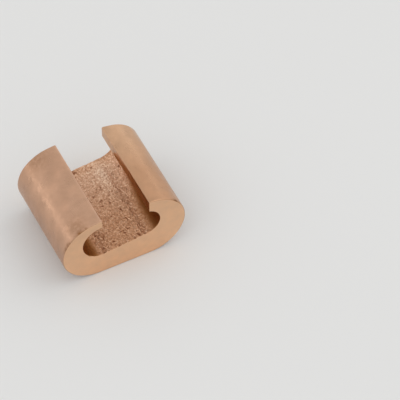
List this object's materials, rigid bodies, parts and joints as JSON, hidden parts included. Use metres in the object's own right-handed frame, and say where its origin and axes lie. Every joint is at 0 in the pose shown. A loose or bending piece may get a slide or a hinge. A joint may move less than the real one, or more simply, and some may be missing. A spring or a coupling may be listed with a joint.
{
  "type": "c-tap connector",
  "caption": "Solid copper C-shaped compression tap: a flat-backed bar with a wide mouth, a run groove and a smaller tap groove, crimped to join a branch wire to a continuous wire.",
  "frame": {"origin": "centre of the flat back, half way along the conductors", "axes": "+X across the connector from the run groove to the tap groove, +Y along the conductors, +Z out of the mouth"},
  "size_m": [0.025, 0.0202, 0.0149],
  "materials": {
    "copper": "bare drawn copper: satin outside, sawn ends, grainy inside the grooves"
  },
  "bodies": {
    "root": {"connector_body": "copper"}
  },
  "joints": []
}
